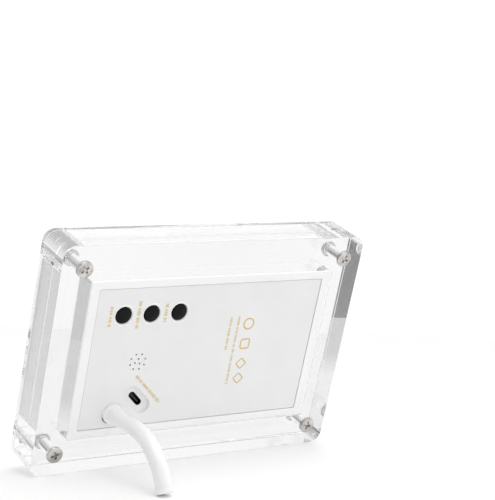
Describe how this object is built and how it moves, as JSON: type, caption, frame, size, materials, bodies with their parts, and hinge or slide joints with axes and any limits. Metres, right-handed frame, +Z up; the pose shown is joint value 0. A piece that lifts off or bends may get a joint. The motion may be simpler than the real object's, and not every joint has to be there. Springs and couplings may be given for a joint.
{
  "type": "digital photo frame",
  "caption": "Clear acrylic digital photo frame on a curved plug-in leg, with push buttons, a speaker grille and a charging inlet on its white back.",
  "frame": {"origin": "on the ground, centred under the part's bounding box", "axes": "+X along the width, to the right seen from the screen side; +Y from the screen towards the leg; +Z up. The panel leans back about its lower rear edge."},
  "size_m": [0.165, 0.0814, 0.1155],
  "materials": {
    "clear_acrylic": "clear, polished edges",
    "stainless": "fine brushed",
    "case_white": "satin moulded",
    "cover_white": "satin moulded",
    "leg_white": "soft gloss moulded",
    "button_black": "gloss moulded",
    "plunger_ivory": "moulded",
    "inner_black": "moulded",
    "screen_glass": "polished",
    "light_guide": "smooth",
    "tinned_steel": "rolled",
    "ribbon": "film",
    "board_green": "lacquered",
    "ferrite": "pressed",
    "foam": "foam",
    "rubber_black": "smooth",
    "speaker_cloth": "woven",
    "magnet_plate": "plated",
    "cone_film": "pressed film",
    "wire_red": "extruded",
    "battery_foil": "crimped foil",
    "tape": "adhesive tape"
  },
  "bodies": {
    "frame": {"front_plate": "clear_acrylic", "rear_block": "clear_acrylic", "binding_posts": "stainless", "binding_screws": "stainless", "board_screws": "stainless", "usb_c_shell": "stainless", "front_bezel": "case_white", "rear_case": "case_white", "back_cover": "cover_white", "lcd_connector": "plunger_ivory", "battery_connector": "plunger_ivory", "tact_switches": "inner_black", "usb_c_tongue": "inner_black", "speaker_frame": "inner_black", "processor_chip": "inner_black", "memory_chips": "inner_black", "lcd_panel": "screen_glass", "lcd_backlight": "light_guide", "lcd_tray": "tinned_steel", "lcd_flex": "ribbon", "main_board": "board_green", "power_inductor": "ferrite", "lcd_gasket": "foam", "speaker_gasket": "foam", "speaker_mesh": "speaker_cloth", "speaker_magnet": "magnet_plate", "speaker_diaphragm": "cone_film", "speaker_leads": "wire_red", "battery_leads": "wire_red", "battery_cell": "battery_foil", "battery_tape": "tape", "bezel_tape": "tape"},
    "outer_key": {"outer_button": "button_black", "outer_plunger": "plunger_ivory"},
    "middle_key": {"middle_button": "button_black", "middle_plunger": "plunger_ivory"},
    "inner_key": {"inner_button": "button_black", "inner_plunger": "plunger_ivory"},
    "turning_bush": {"leg_bush": "leg_white", "bush_screw": "stainless"},
    "leg": {"stand_leg": "leg_white", "leg_grip_ring": "rubber_black", "leg_foot": "leg_white"}
  },
  "joints": [
    {"name": "outer_key_press", "type": "slide", "parent": "frame", "child": "outer_key", "axis": [0, -0.9567, 0.2912], "range_m": [0, 0.0007], "stiffness_N_per_m": 900},
    {"name": "middle_key_press", "type": "slide", "parent": "frame", "child": "middle_key", "axis": [0, -0.9567, 0.2912], "range_m": [0, 0.0007], "stiffness_N_per_m": 900},
    {"name": "inner_key_press", "type": "slide", "parent": "frame", "child": "inner_key", "axis": [0, -0.9567, 0.2912], "range_m": [0, 0.0007], "stiffness_N_per_m": 900},
    {"name": "leg_turn", "type": "hinge", "parent": "frame", "child": "turning_bush", "pos_m": [0.0444, -0.01123, 0.02774], "axis": [0, -0.9567, 0.2912], "range_deg": [0, 90]},
    {"name": "leg_pull", "type": "slide", "parent": "turning_bush", "child": "leg", "axis": [0, 0.9567, -0.2912], "range_m": [0, 0.009]}
  ]
}
